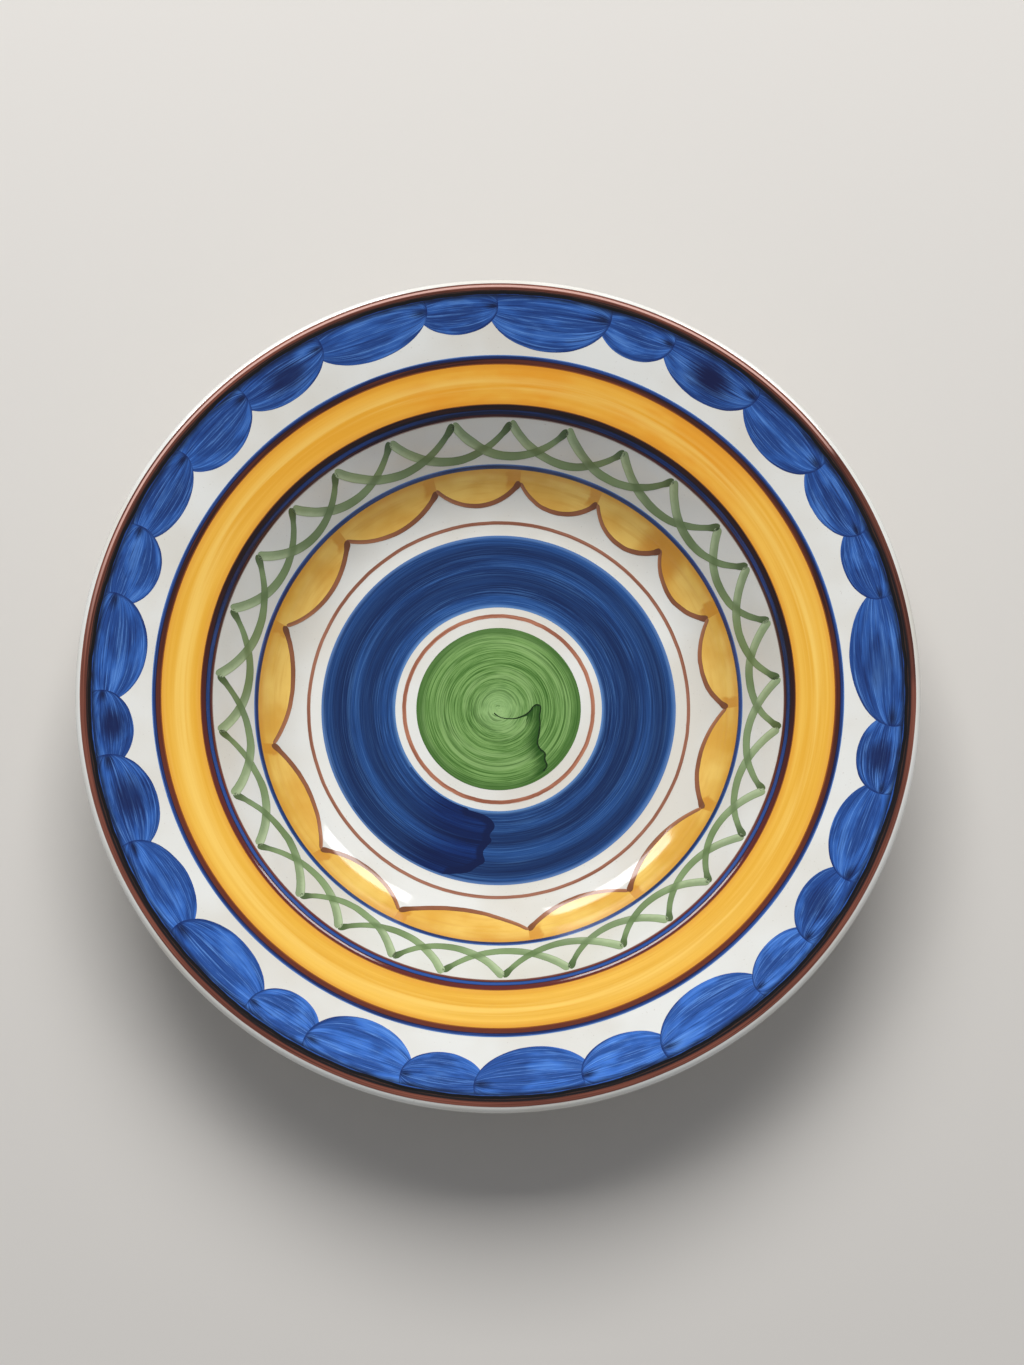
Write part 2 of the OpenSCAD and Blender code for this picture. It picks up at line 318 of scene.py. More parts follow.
def discard(*pieces):
    for piece in pieces:
        bpy.data.objects.remove(piece)


def joined(name, pieces):
    """Joins separate strokes of one colour into one piece."""
    select_only(pieces[0])
    for piece in pieces:
        piece.select_set(True)
    bpy.ops.object.join()
    piece = bpy.context.object
    piece.name = piece.data.name = name
    return piece


def lay_map(piece, name, where):
    """Lays a map of the piece's own on it, worked out from the place of each point."""
    spots = [where(vertex.co) for vertex in piece.data.vertices]
    layer = piece.data.uv_layers.new(name=name)
    for loop in piece.data.loops:
        layer.data[loop.index].uv = spots[loop.vertex_index]


def angle_of(place):
    return math.degrees(math.atan2(place.y, place.x))


def stand_for(piece, node, finish):
    """Smooths a piece, gives it its finish, hangs it on the plate's root and hides the CAD part it
    stands for.
    """
    select_only(piece)
    bpy.ops.object.shade_smooth_by_angle(angle=math.radians(30))
    piece.data.materials.clear()
    piece.data.materials.append(finish)
    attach(piece, "root")
    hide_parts(node)


# ---------------------------------------------------------------- mixing colours


def srgb(red, green, blue):
    """A colour given as 0 to 255 on a screen, as light."""
    shares = [value / 255 for value in (red, green, blue)]
    return (*[s / 12.92 if s <= 0.04045 else ((s + 0.055) / 1.055) ** 2.4 for s in shares], 1)


WHITE = srgb(224, 224, 219)
CREAM = srgb(214, 210, 200)


class Finish:
    """A surface whose colour is built up step by step from where a point lies on the plate."""

    def __init__(self, name, roughness=0.1):
        self.material = bpy.data.materials.new(name)
        self.material.use_nodes = True
        self.nodes = self.material.node_tree.nodes
        self.links = self.material.node_tree.links
        self.shader = self.nodes["Principled BSDF"]
        self.shader.inputs["Roughness"].default_value = roughness
        self.place = self.nodes.new("ShaderNodeTexCoord").outputs["Object"]
        split = self.nodes.new("ShaderNodeSeparateXYZ")
        self.links.new(self.place, split.inputs[0])
        self.x, self.y, self.z = split.outputs
        flat = self.vector(self.x, self.y, 0)
        self.radius = self.add("ShaderNodeVectorMath", flat, operation="LENGTH").outputs["Value"]
        self.turn = self.add("ShaderNodeVectorMath", flat, operation="NORMALIZE").outputs[0]

    def add(self, kind, *values, **settings):
        """A node with its settings and its inputs in order. None leaves an input alone."""
        node = self.nodes.new(kind)
        for setting, value in settings.items():
            setattr(node, setting, value)
        for socket, value in zip(node.inputs, values):
            self.feed(socket, value)
        return node

    def feed(self, socket, value):
        if value is None:
            return
        if isinstance(value, bpy.types.NodeSocket):
            self.links.new(value, socket)
        else:
            socket.default_value = value

    def vector(self, x, y, z):
        return self.add("ShaderNodeCombineXYZ", x, y, z).outputs[0]

    def calc(self, operation, *values):
        return self.add("ShaderNodeMath", *values, operation=operation).outputs[0]

    def times(self, first, second):
        return self.calc("MULTIPLY", first, second)

    def rise(self, value, low, high):
        """0 up to low, 1 from high on, and a smooth rise between. It falls if low > high."""
        node = self.add("ShaderNodeMapRange", value, interpolation_type="SMOOTHSTEP")
        if low < high:
            edges = (low, high, 0.0, 1.0)
        else:
            edges = (high, low, 1.0, 0.0)
        for socket, edge in zip(list(node.inputs)[1:5], edges):
            socket.default_value = edge
        return node.outputs[0]

    def mix(self, share, first, second, kind="MIX"):
        node = self.add("ShaderNodeMix", data_type="RGBA", blend_type=kind, clamp_factor=True)
        self.feed(node.inputs[0], share)
        self.feed(node.inputs[6], first)
        self.feed(node.inputs[7], second)
        return node.outputs[2]

    def noise(self, vector, scale, detail=2.0, roughness=0.5, distortion=0.0):
        node = self.nodes.new("ShaderNodeTexNoise")
        self.feed(node.inputs["Vector"], vector)
        node.inputs["Scale"].default_value = scale
        node.inputs["Detail"].default_value = detail
        node.inputs["Roughness"].default_value = roughness
        node.inputs["Distortion"].default_value = distortion
        return node.outputs["Fac"]

    def near_angle(self, angle, full, fade):
        """1 within full degrees of an angle, falling to 0 at fade degrees from it."""
        toward = (*polar(1, angle), 0)
        along = self.add("ShaderNodeVectorMath", self.turn, toward, operation="DOT_PRODUCT")
        low, high = math.cos(math.radians(fade)), math.cos(math.radians(full))
        return self.rise(along.outputs["Value"], low, high)

    def brushed_round(self, across, along, seed=0.0, detail=3.0, roughness=0.6):
        """Streaks that a brush leaves when the plate turns under it."""
        radial = self.calc("MULTIPLY_ADD", self.radius, across, seed)
        node = self.add("ShaderNodeSeparateXYZ", self.turn)
        east = self.times(node.outputs[0], along)
        north = self.times(node.outputs[1], along)
        return self.noise(self.vector(radial, east, north), 1.0, detail, roughness)

    def own_map(self, name):
        """The two coordinates of the piece's own map."""
        node = self.add("ShaderNodeUVMap", uv_map=name)
        return self.add("ShaderNodeSeparateXYZ", node.outputs[0]).outputs[:2]

    def reach(self, amount, along=3.0, seed=0.0):
        """The radius, made to wander a little as the plate turns, for hand-drawn edges."""
        drift = self.noise(self.add(
            "ShaderNodeVectorMath", self.turn, (seed, seed, seed), operation="ADD"
        ).outputs[0], along, 3.0)
        wobble = self.times(self.calc("SUBTRACT", drift, 0.5), amount * 2)
        return self.calc("ADD", self.radius, wobble)

    def zone(self, start, full, fade, end):
        """1 from the radius full to the radius fade, falling to 0 at start and at end."""
        return self.times(self.rise(self.radius, start * MM, full * MM),
                          self.rise(self.radius, end * MM, fade * MM))

    def relief(self, height, depth):
        """A relief too fine to model, of this depth."""
        node = self.nodes.new("ShaderNodeBump")
        node.inputs["Strength"].default_value = 1.0
        node.inputs["Distance"].default_value = depth
        self.feed(node.inputs["Height"], height)
        self.links.new(node.outputs[0], self.shader.inputs["Normal"])

    def done(self, colour, glazed=True):
        """The finished material. Hand-laid glaze is slightly uneven in its reflections."""
        self.feed(self.shader.inputs["Base Color"], colour)
        if glazed:
            self.relief(self.noise(self.place, 38.0, 1.5), 0.16 * MM)
        return self.material


def white_glaze_finish():
    """White glaze, a little creamier where it pools, with a few fine specks."""
    f = Finish("white glaze", roughness=0.08)
    pooled = f.rise(f.noise(f.place, 22, 3), 0.35, 0.7)
    colour = f.mix(pooled, WHITE, CREAM)
    specks = f.rise(f.noise(f.place, 1500, 0), 0.8, 0.84)
    colour = f.mix(f.times(specks, 0.25), colour, srgb(150, 135, 115))
    return f.done(colour)


def fired_clay_finish():
    """Bare fired clay: warm buff, slightly gritty."""
    f = Finish("fired clay", roughness=0.75)
    grain = f.noise(f.place, 420, 5, 0.7)
    broad = f.noise(f.place, 30, 2)
    colour = f.mix(f.rise(grain, 0.3, 0.75), srgb(176, 132, 98), srgb(204, 163, 126))
    colour = f.mix(f.times(f.rise(broad, 0.4, 0.7), 0.5), colour, srgb(186, 120, 84))
    f.relief(grain, 0.2 * MM)
    return f.done(colour, glazed=False)


def ring_line_finish(name, r_in, r_out, dark, pale, seed, inside=None, outside=None, soft=0.35,
                     thin=None):
    """A line drawn round the turning plate. It bleeds at its edges into what lies beside it,
    and on the plate's near side it may take a lighter shade: painted light, where the lamps fall
    more fully."""
    f = Finish(name)
    width = r_out - r_in
    streak = f.brushed_round(1.6 / width, 2.5, seed)
    colour = f.mix(f.rise(streak, 0.35, 0.65), dark, pale)
    # thin is painted light: a lighter colour of the line on the near side, where the lamps fall
    # more fully.
    if thin:
        colour = f.mix(f.times(f.near_angle(262, 55, 110), 0.8), colour, thin)
    reach = f.reach(0.12 * width, 9.0, seed)
    if outside:
        edge = f.rise(reach, r_out - soft * width, r_out - 0.02 * width)
        colour = f.mix(edge, colour, outside)
    if inside:
        edge = f.rise(reach, r_in + soft * width, r_in + 0.02 * width)
        colour = f.mix(edge, colour, inside)
    return f.done(colour)


# ---------------------------------------------------------------- the clay and its glaze


def make_clay_body():
    points = front(-GLAZE_T, 4) + back(-GLAZE_T, 4)[::-1]
    return turned("thrown_body", points, steps=180)


def foot_section():
    foot_in = FOOT_OUT - FOOT_W
    corner_in = Vector((foot_in + FOOT_EDGE_R, FOOT_EDGE_R))
    corner_out = Vector((FOOT_OUT - FOOT_EDGE_R, FOOT_EDGE_R))
    return [
        Vector((foot_in, FOOT_TOP)),
        *arc(corner_in, FOOT_EDGE_R, 180, 270, 10),
        *arc(corner_out, FOOT_EDGE_R, 270, 360, 10),
        Vector((FOOT_OUT, FOOT_TOP)),
    ]


def make_foot_ring():
    return turned("turned_foot", foot_section(), steps=240)


def make_front_glaze():
    points = spaced(front(0), 4 * MM) + front(-GLAZE_T)[::-1]
    return turned("glaze_on_front", points, steps=360)


def make_back_glaze():
    edge = FOOT_OUT + BARE_W
    points = spaced(beyond(back(0), edge), 4 * MM) + beyond(back(-GLAZE_T), edge)[::-1]
    return turned("glaze_on_back", points, steps=360)


def make_base_glaze():
    edge = FOOT_OUT - FOOT_W - BARE_W
    points = spaced(within(back(0), edge), 6 * MM) + within(back(-GLAZE_T), edge)[::-1]
    return turned("glaze_under_base", points, steps=180)


WHITE_GLAZE = white_glaze_finish()
FIRED_CLAY = fired_clay_finish()
stand_for(make_clay_body(), "clay_body", FIRED_CLAY)
stand_for(make_foot_ring(), "foot_ring", FIRED_CLAY)
stand_for(make_front_glaze(), "front_glaze", WHITE_GLAZE)
stand_for(make_back_glaze(), "back_glaze", WHITE_GLAZE)
stand_for(make_base_glaze(), "base_glaze", WHITE_GLAZE)

# ---------------------------------------------------------------- rings drawn on the wheel

DARK_BROWN, RED_BROWN = srgb(46, 20, 16), srgb(88, 40, 28)
NAVY, MID_BLUE, PALE_BLUE = srgb(20, 34, 84), srgb(36, 66, 132), srgb(86, 126, 190)


def ring_piece(node, r_in, r_out, finish):
    stand_for(coat_ring(f"brushed_{node}", r_in, r_out), node, finish)


def line_ring(node, r_in, r_out, slot, dark, pale, seed, **looks):
    """A ring drawn with one turn of a loaded brush. Its finish is named after it."""
    name = node.rpartition("_")[0].replace("_", " ")
    finish = ring_line_finish(name, r_in, r_out, dark, pale, seed, **looks)
    ring_piece(node, r_in, r_out, finish)


def lip_brown_finish():
    """A fine brown line with a painted highlight, a pale pink stripe, along it on the far side; it
    stays brown on the near side and where the stroke was heavy.
    """
    f = Finish("lip brown")
    streak = f.brushed_round(2600, 3, 1.5)
    colour = f.mix(f.rise(streak, 0.3, 0.7), srgb(84, 42, 32), srgb(136, 80, 64))
    reach = f.reach(0.12 * MM, 6)
    heavy = f.near_angle(18, 16, 19)
    full = f.calc("MAXIMUM", heavy, f.near_angle(280, 102, 128))
    band = f.times(f.rise(reach, LIP_BROWN_OUT - 0.7 * MM, LIP_BROWN_OUT - 0.95 * MM),
                   f.rise(reach, LIP_BROWN2_OUT - 0.05 * MM, LIP_BROWN2_OUT + 0.2 * MM))
    # The pale stripe is a painted highlight on the rounded lip, shown on the far side only.
    pale = f.times(band, f.calc("SUBTRACT", 1, full))
    colour = f.mix(pale, colour, srgb(206, 164, 152))
    colour = f.mix(f.times(heavy, 0.45), colour, DARK_BROWN)
    edge = f.rise(reach, LIP_BROWN_OUT - 0.2 * MM, LIP_BROWN_OUT)
    return f.done(f.mix(edge, colour, WHITE))


def lip_inner_brown_finish():
    """The second line, which runs into the black beside it."""
    f = Finish("inner lip brown")
    streak = f.brushed_round(2600, 3, 4.5)
    colour = f.mix(f.rise(streak, 0.3, 0.7), srgb(70, 34, 26), srgb(122, 68, 52))
    colour = f.mix(f.times(f.near_angle(18, 16, 19), 0.6), colour, DARK_BROWN)
    near_side = f.times(f.near_angle(285, 80, 115), 0.6 * MM)
    reach = f.calc("SUBTRACT", f.reach(0.2 * MM, 9), near_side)
    inner = f.rise(reach, LIP_BLACK_OUT + 0.5 * MM, LIP_BLACK_OUT)
    return f.done(f.mix(inner, colour, srgb(26, 19, 21)))


ring_piece("lip_brown_line", LIP_BROWN2_OUT, LIP_BROWN_OUT, lip_brown_finish())
ring_piece("lip_brown_line_inner", LIP_BLACK_OUT, LIP_BROWN2_OUT, lip_inner_brown_finish())
# Each thin colour below is painted light: a lighter shade of its line for the near side.
line_ring("flange_blue_line", FLANGE_BROWN_OUT, FLANGE_BLUE_OUT, "blue_line", NAVY, MID_BLUE, 5.0,
          outside=PALE_BLUE, inside=srgb(24, 20, 44), soft=0.4)
line_ring("flange_brown_line", YELLOW_OUT, FLANGE_BROWN_OUT, "dark_brown_line",
          DARK_BROWN, RED_BROWN, 7.0, inside=srgb(150, 84, 30), soft=0.3,
          thin=srgb(104, 48, 32))
line_ring("shoulder_brown_line", SHOULDER_BLUE_OUT, SHOULDER_BROWN_OUT, "dark_brown_line",
          srgb(22, 12, 16), DARK_BROWN, 9.0, outside=srgb(150, 90, 36), soft=0.25,
          thin=srgb(104, 42, 38))
line_ring("shoulder_blue_line", MAROON_OUT, SHOULDER_BLUE_OUT, "blue_line",
          srgb(22, 30, 62), MID_BLUE, 11.0, outside=srgb(20, 16, 30), inside=srgb(30, 20, 40),
          soft=0.3, thin=srgb(40, 84, 160))
line_ring("shoulder_maroon_line", LATTICE_OUT, MAROON_OUT, "dark_brown_line",
          srgb(40, 18, 22), srgb(84, 40, 36), 13.0, inside=srgb(170, 150, 140), soft=0.4,
          thin=srgb(112, 52, 50))
line_ring("wall_blue_line", OCHRE_OUT, WALL_BLUE_OUT, "blue_line", NAVY, MID_BLUE, 15.0,
          outside=PALE_BLUE, inside=srgb(60, 66, 90), soft=0.35)


def yellow_band_finish():
    """Amber yellow, deeper where the brush was loaded and where two laps meet."""
    f = Finish("yellow band")
    streak = f.brushed_round(300, 0.8, 2.0)
    fine = f.brushed_round(1500, 2.5, 4.0)
    colour = f.mix(f.rise(streak, 0.3, 0.7), srgb(228, 170, 54), srgb(240, 192, 84))
    colour = f.mix(f.times(f.rise(fine, 0.5, 0.75), 0.3), colour, srgb(220, 154, 40))
    loaded = f.calc("MAXIMUM", f.near_angle(91, 9, 20), f.near_angle(55, 2, 20))
    patchy = f.rise(f.brushed_round(120, 3.5, 9.0), 0.35, 0.6)
    colour = f.mix(f.times(f.times(loaded, patchy), 0.7), colour, srgb(226, 146, 34))
    # Deeper orange on the far side: partly the paint's own tone, partly painted shade.
    far_side_tone_and_shade = f.times(f.near_angle(90, 15, 85), 0.42)
    colour = f.mix(far_side_tone_and_shade, colour, srgb(234, 156, 30))
    worn = f.times(f.zone(117, 120.5, 122, 125), f.rise(streak, 0.35, 0.6))
    colour = f.mix(f.times(worn, 0.45), colour, srgb(246, 208, 112))
    rim_side = f.rise(f.radius, YELLOW_OUT - 2.5 * MM, YELLOW_OUT)
    well_side = f.rise(f.radius, SHOULDER_BROWN_OUT + 2.5 * MM, SHOULDER_BROWN_OUT)
    edges = f.times(f.calc("MAXIMUM", rim_side, well_side), 0.6)
    return f.done(f.mix(edges, colour, srgb(216, 142, 38)))


ring_piece("yellow_band", SHOULDER_BROWN_OUT, YELLOW_OUT, yellow_band_finish())

# ---------------------------------------------------------------- petals


def petal_angles(i):
    start = PETALS[i][0]
    following = PETALS[(i + 1) % len(PETALS)][0]
    end = following + PETAL_LAP + (360 if following < start else 0)
    return start, end


def wander(piece, strength, size, seed):
    """Lets an outline wander a little in the plane, as a hand does."""
    cloud = bpy.data.textures.new("hand wander", "CLOUDS")
    cloud.noise_scale = size
    for axis in "XY":
        sway = piece.modifiers.new("sway", "DISPLACE")
        sway.texture = cloud
        sway.texture_coords = "GLOBAL"
        sway.direction = axis
        sway.strength = strength
        sway.mid_level = 0.5
        piece.location.z += seed * size
        apply_all(piece)
        piece.location.z -= seed * size


def petal_column(i):
    """An upright column whose section is the outline of one petal."""
    start, end = petal_angles(i)
    middle, half = (start + end) / 2, math.radians(end - start) / 2
    waist_r = PETAL_OUT - PETAL_NECK
    depth = PETALS[i][1] * PETAL_DEPTH - PETAL_NECK
    bpy.ops.object.select_all(action="DESELECT")
    bpy.ops.mesh.primitive_circle_add(vertices=96, radius=1, fill_type="NGON", location=(0, 0, 0))
    piece = bpy.context.object
    piece.name = f"petal column {i}"
    piece.scale = (waist_r * half, depth, 1)
    settle()
    edit()
    bpy.ops.mesh.select_all(action="DESELECT")
    leave_edit()
    for vertex in piece.data.vertices:
        vertex.select = vertex.co.y > 0
    edit()
    bpy.ops.transform.resize(value=(1, 15 * MM / depth, 1), center_override=(0, 0, 0))
    bpy.ops.mesh.select_all(action="SELECT")
    extrude((0, 0, 40 * MM))
    close_up()
    piece.rotation_euler.z = math.radians(middle - 90 + chance.uniform(-3, 3))
    piece.location = (*polar(waist_r, middle), 40 * MM)
    settle()
    wander(piece, 0.5 * MM, 9 * MM, chance.uniform(0, 9))
    return piece


def petal_map(piece, i):
    """Lays the petal's own map on it: across from start to end, and down from its waist."""
    start, end = petal_angles(i)
    middle, half = (start + end) / 2, (end - start) / 2
    waist_r = PETAL_OUT - PETAL_NECK
    depth = PETALS[i][1] * PETAL_DEPTH - PETAL_NECK

    def where(place):
        swing = (angle_of(place) - middle + 180) % 360 - 180
        return swing / half, (waist_r - math.hypot(place.x, place.y)) / depth

    lay_map(piece, "brush", where)


def tell(piece, name, values):
    """Writes up to four values on the whole piece for its finish to read."""
    select_only(piece)
    colour = (*values, *[0.0] * (4 - len(values)))
    bpy.ops.geometry.color_attribute_add(
        name=name, domain="POINT", data_type="FLOAT_COLOR", color=colour
    )


def petal_finish():
    """Cobalt laid with one press and sweep of a soft brush."""
    f = Finish("petal blue", roughness=0.09)
    across, down = f.own_map("brush")
    told = f.add("ShaderNodeAttribute", attribute_name="stroke")
    values = f.add("ShaderNodeSeparateXYZ", told.outputs["Vector"])
    pale, pool, seed = values.outputs
    # The bristles part at the press and close again at the end, in arcs through both.
    spread = f.calc("SUBTRACT", 1.0, f.times(across, across))
    spread = f.calc("SQRT", f.calc("MAXIMUM", spread, 0.05))
    lane = f.calc("DIVIDE", down, spread)
    hair_place = f.vector(f.times(across, 0.8), f.times(lane, 22.0), f.times(seed, 40.0))
    fine = f.noise(hair_place, 1.0, 4.0, 0.75, 0.2)
    patch_place = f.vector(f.times(across, 1.1), f.times(lane, 2.6), f.times(seed, 90.0))
    broad = f.noise(patch_place, 1.0, 2.0)
    deep, light = srgb(12, 34, 92), srgb(104, 156, 226)
    # pale lightens the blue: partly each petal's own tone, and on the near side mostly painted
    # sheen.
    tone = f.mix(pale, srgb(40, 84, 156), srgb(58, 116, 208))
    colour = f.mix(f.rise(broad, 0.42, 0.6), f.mix(0.55, tone, deep), tone)
    colour = f.mix(f.times(f.rise(broad, 0.55, 0.75), 0.35), colour, light)
    bright = f.calc("MULTIPLY_ADD", pale, 0.25, 0.6)
    colour = f.mix(f.times(f.rise(fine, 0.51, 0.7), bright), colour, light)
    hairs = f.calc("MULTIPLY_ADD", pale, -0.45, 0.9)
    colour = f.mix(f.times(f.rise(fine, 0.48, 0.34), hairs), colour, deep)
    # Colour pools in the middle of a heavily loaded stroke.
    away = f.vector(f.calc("ADD", across, 0.1), f.calc("SUBTRACT", down, 0.3), 0)
    far = f.add("ShaderNodeVectorMath", away, operation="LENGTH").outputs["Value"]
    ragged = f.calc("MULTIPLY_ADD", fine, 0.7, far)
    pooled = f.times(f.rise(ragged, 1.05, 0.5), pool)
    colour = f.mix(pooled, colour, srgb(12, 22, 66))
    # The brush was pressed down at the start and left a dark pinch there.
    pressed = f.vector(f.calc("ADD", across, 0.88), f.times(down, 1.6), 0)
    near = f.add("ShaderNodeVectorMath", pressed, operation="LENGTH").outputs["Value"]
    spot = f.rise(f.calc("MULTIPLY_ADD", fine, 0.45, near), 0.52, 0.22)
    colour = f.mix(f.times(spot, 0.9), colour, srgb(8, 14, 48))
    rounded = f.calc("SQRT", f.calc("ADD", f.times(across, across),
                                    f.calc("POWER", f.calc("MAXIMUM", down, 0.0), 2.0)))
    edge = f.times(f.rise(rounded, 0.93, 0.99), f.rise(across, 0.1, -0.7))
    colour = f.mix(f.times(edge, 0.75), colour, deep)
    # The black line above bleeds down into the stroke.
    reach = f.reach(0.8 * MM, 16.0, 2.0)
    bleed = f.rise(reach, PETAL_OUT - 2.1 * MM, PETAL_OUT + 0.2 * MM)
    colour = f.mix(f.times(bleed, 0.9), colour, srgb(10, 12, 24))
    return f.done(colour)


def make_petals():
    columns = [petal_column(i) for i in range(len(PETALS))]
    finish = petal_finish()
    for i, column in enumerate(columns):
        start, end = petal_angles(i)
        node = f"petal_{i + 1:02d}"
        piece = coat_sector(f"brushed_{node}", FLANGE_BLUE_OUT + 0.3 * MM, PETAL_OUT,
                            start - 3, end + 3)
        cut(piece, column, "INTERSECT")
        cut(piece, columns[(i + 1) % len(columns)], "DIFFERENCE")
        petal_map(piece, i)
        tell(piece, "stroke", (*PETALS[i][2:], chance.random()))
        stand_for(piece, node, finish)
    discard(*columns)


make_petals()


def lip_black_finish():
    """Black, soft at both edges, running down into the blue of the petals."""
    f = Finish("lip black")
    streak = f.brushed_round(1500, 5, 6.0)
    colour = f.mix(f.rise(streak, 0.35, 0.7), srgb(4, 4, 6), srgb(20, 15, 15))
    reach = f.reach(0.7 * MM, 12, 1.0)
    upper = f.rise(reach, LIP_BLACK_OUT - 0.4 * MM, LIP_BLACK_OUT)
    colour = f.mix(f.times(upper, 0.8), colour, srgb(66, 42, 32))
    # The blue that the black runs into is lighter on the near side: there it is painted sheen.
    blue = f.mix(f.near_angle(262, 60, 120), srgb(30, 62, 128), srgb(44, 92, 176))
    lower = f.rise(reach, PETAL_OUT + 0.35 * MM, PETAL_OUT - 0.1 * MM)
    return f.done(f.mix(lower, colour, blue))


ring_piece("lip_black_line", PETAL_OUT, LIP_BLACK_OUT, lip_black_finish())

# ---------------------------------------------------------------- the floor


def blue_band_colour(f):
    streak = f.brushed_round(230, 0.5, 3.0, 3.0, 0.6)
    fine = f.brushed_round(2900, 1.6, 8.0, 3.0, 0.75)
    colour = f.mix(f.rise(streak, 0.32, 0.7), srgb(15, 42, 90), srgb(34, 76, 138))
    colour = f.mix(f.times(f.rise(fine, 0.5, 0.66), 0.5), colour, srgb(72, 118, 176))
    colour = f.mix(f.times(f.rise(fine, 0.48, 0.34), 0.6), colour, srgb(6, 22, 56))
    dark = f.times(f.calc("MAXIMUM", f.zone(58, 64, 65, 69), f.zone(47, 51, 53, 57)), 0.6)
    return f.mix(dark, colour, srgb(11, 31, 72))


def blue_band_finish():
    """Cobalt band in one long turn, paler and soft at both edges."""
    f = Finish("blue band")
    colour = blue_band_colour(f)
    reach = f.reach(0.5 * MM, 2.0, 4.0)
    halo_out = f.rise(reach, BLUE_BAND_OUT - 1.6 * MM, BLUE_BAND_OUT - 0.3 * MM)
    halo_in = f.rise(reach, BLUE_BAND_IN + 1.7 * MM, BLUE_BAND_IN + 0.2 * MM)
    colour = f.mix(f.times(halo_out, 0.7), colour, srgb(96, 134, 190))
    colour = f.mix(f.times(halo_in, 0.75), colour, srgb(98, 142, 198))
    return f.done(colour)


def green_disc_colour(f):
    streak = f.brushed_round(2200, 0.9, 1.0, 3.0, 0.75)
    broad = f.brushed_round(260, 0.5, 5.0)
    colour = f.mix(f.rise(streak, 0.4, 0.62), srgb(76, 118, 50), srgb(124, 162, 92))
    colour = f.mix(f.times(f.rise(broad, 0.48, 0.68), 0.5), colour, srgb(146, 180, 114))
    colour = f.mix(f.times(f.rise(streak, 0.45, 0.3), 0.75), colour, srgb(50, 88, 30))
    centre = f.rise(f.radius, 13 * MM, 1 * MM)
    colour = f.mix(f.times(centre, 0.55), colour, srgb(160, 196, 130))
    line = f.rise(f.brushed_round(900, 0.5, 12.0, 1.0), 0.62, 0.68)
    colour = f.mix(f.times(line, 0.5), colour, srgb(52, 90, 30))
    edge = f.rise(f.reach(1.2 * MM, 3), GREEN_R - 4.5 * MM, GREEN_R - 1 * MM)
    return f.mix(f.times(edge, 0.7), colour, srgb(52, 92, 32))


def green_disc_finish():
    f = Finish("green disc")
    return f.done(green_disc_colour(f))


line_ring("floor_brown_ring", FLOOR_BROWN_OUT - 1.5 * MM, FLOOR_BROWN_OUT, "brown_line",
          srgb(134, 84, 64), srgb(160, 108, 86), 17.0, inside=CREAM, outside=CREAM, soft=0.1)
ring_piece("blue_band", BLUE_BAND_IN, BLUE_BAND_OUT, blue_band_finish())
line_ring("inner_brown_ring", INNER_BROWN_OUT - 1.8 * MM, INNER_BROWN_OUT, "brown_line",
          srgb(144, 88, 66), srgb(176, 118, 92), 19.0, inside=CREAM, outside=CREAM, soft=0.12)


def make_green_disc():
    upper = spaced(within(front(COAT), GREEN_R), 2 * MM)
    points = upper + within(front(0), GREEN_R)[::-1]
    piece = turned("brushed_green_disc", points, steps=180)
    stand_for(piece, "green_disc", green_disc_finish())


make_green_disc()

# ---------------------------------------------------------------- second coats on the floor

# Where the blue's second coat stops: angle, and share of the band's width from its inside.
LAP_END = [
    (254, 0.94), (260, 0.87), (262.5, 0.76), (265.5, 0.7), (263.5, 0.57), (265.5, 0.47),
    (267.5, 0.4), (265.5, 0.33), (268.5, 0.23), (267.5, 0.14), (263, 0.06), (254, 0.04),
]
LAP_START = 214
# The crisp side of the green's second coat, up to its tip and along the thread of colour
# that runs from there to the middle: angle, and share of the disc's radius.
HEEL_EDGE = [
    (290, 0.955), (304, 0.955), (311, 0.93), (312, 0.84), (317, 0.8), (316, 0.7), (319, 0.63),
    (326, 0.6), (333, 0.57), (342, 0.54), (350, 0.51), (358, 0.52), (5, 0.52), (8, 0.46), (4, 0.41),
]
THREAD = [
    (357, 0.38), (350, 0.34), (342, 0.29), (328, 0.225), (306, 0.145), (276, 0.1), (220, 0.07),
]
THREAD_SIDE = [
    (230, 0.085), (278, 0.115), (307, 0.162), (328, 0.245), (341, 0.315), (346, 0.36),
]
HEEL_BACK = [(340, 0.36), (322, 0.4), (305, 0.5), (285, 0.66), (272, 0.86), (280, 0.945)]


def outline_column(points):
    """An upright column whose section is a closed outline drawn point by point."""
    piece = draw_closed("outline column", [Vector((*point, -10 * MM)) for point in points])
    bpy.ops.mesh.edge_face_add()
    extrude((0, 0, 80 * MM))
    close_up()
    return piece


def rounded_line(points, rounds=2):
    """The same line with its corners cut back, as a brush leaves them."""
    for _ in range(rounds):
        line = [points[0]]
        for near, far in zip(points, points[1:]):
            line += [near.lerp(far, 0.25), near.lerp(far, 0.75)]
        points = [*line, points[-1]]
    return points


def line_distance(place, line):
    """How far a point is from a line of points."""
    best = 1.0
    for near, far in zip(line, line[1:]):
        along = far - near
        share = max(0.0, min(1.0, (place - near).dot(along) / along.length_squared))
        best = min(best, (place - near - along * share).length)
    return best


def behind_map(piece, edge):
    """A map that says, in millimetres, how far each point lies behind a crisp edge."""
    lay_map(piece, "behind", lambda place: (line_distance(place.xy, edge) / MM, 0))


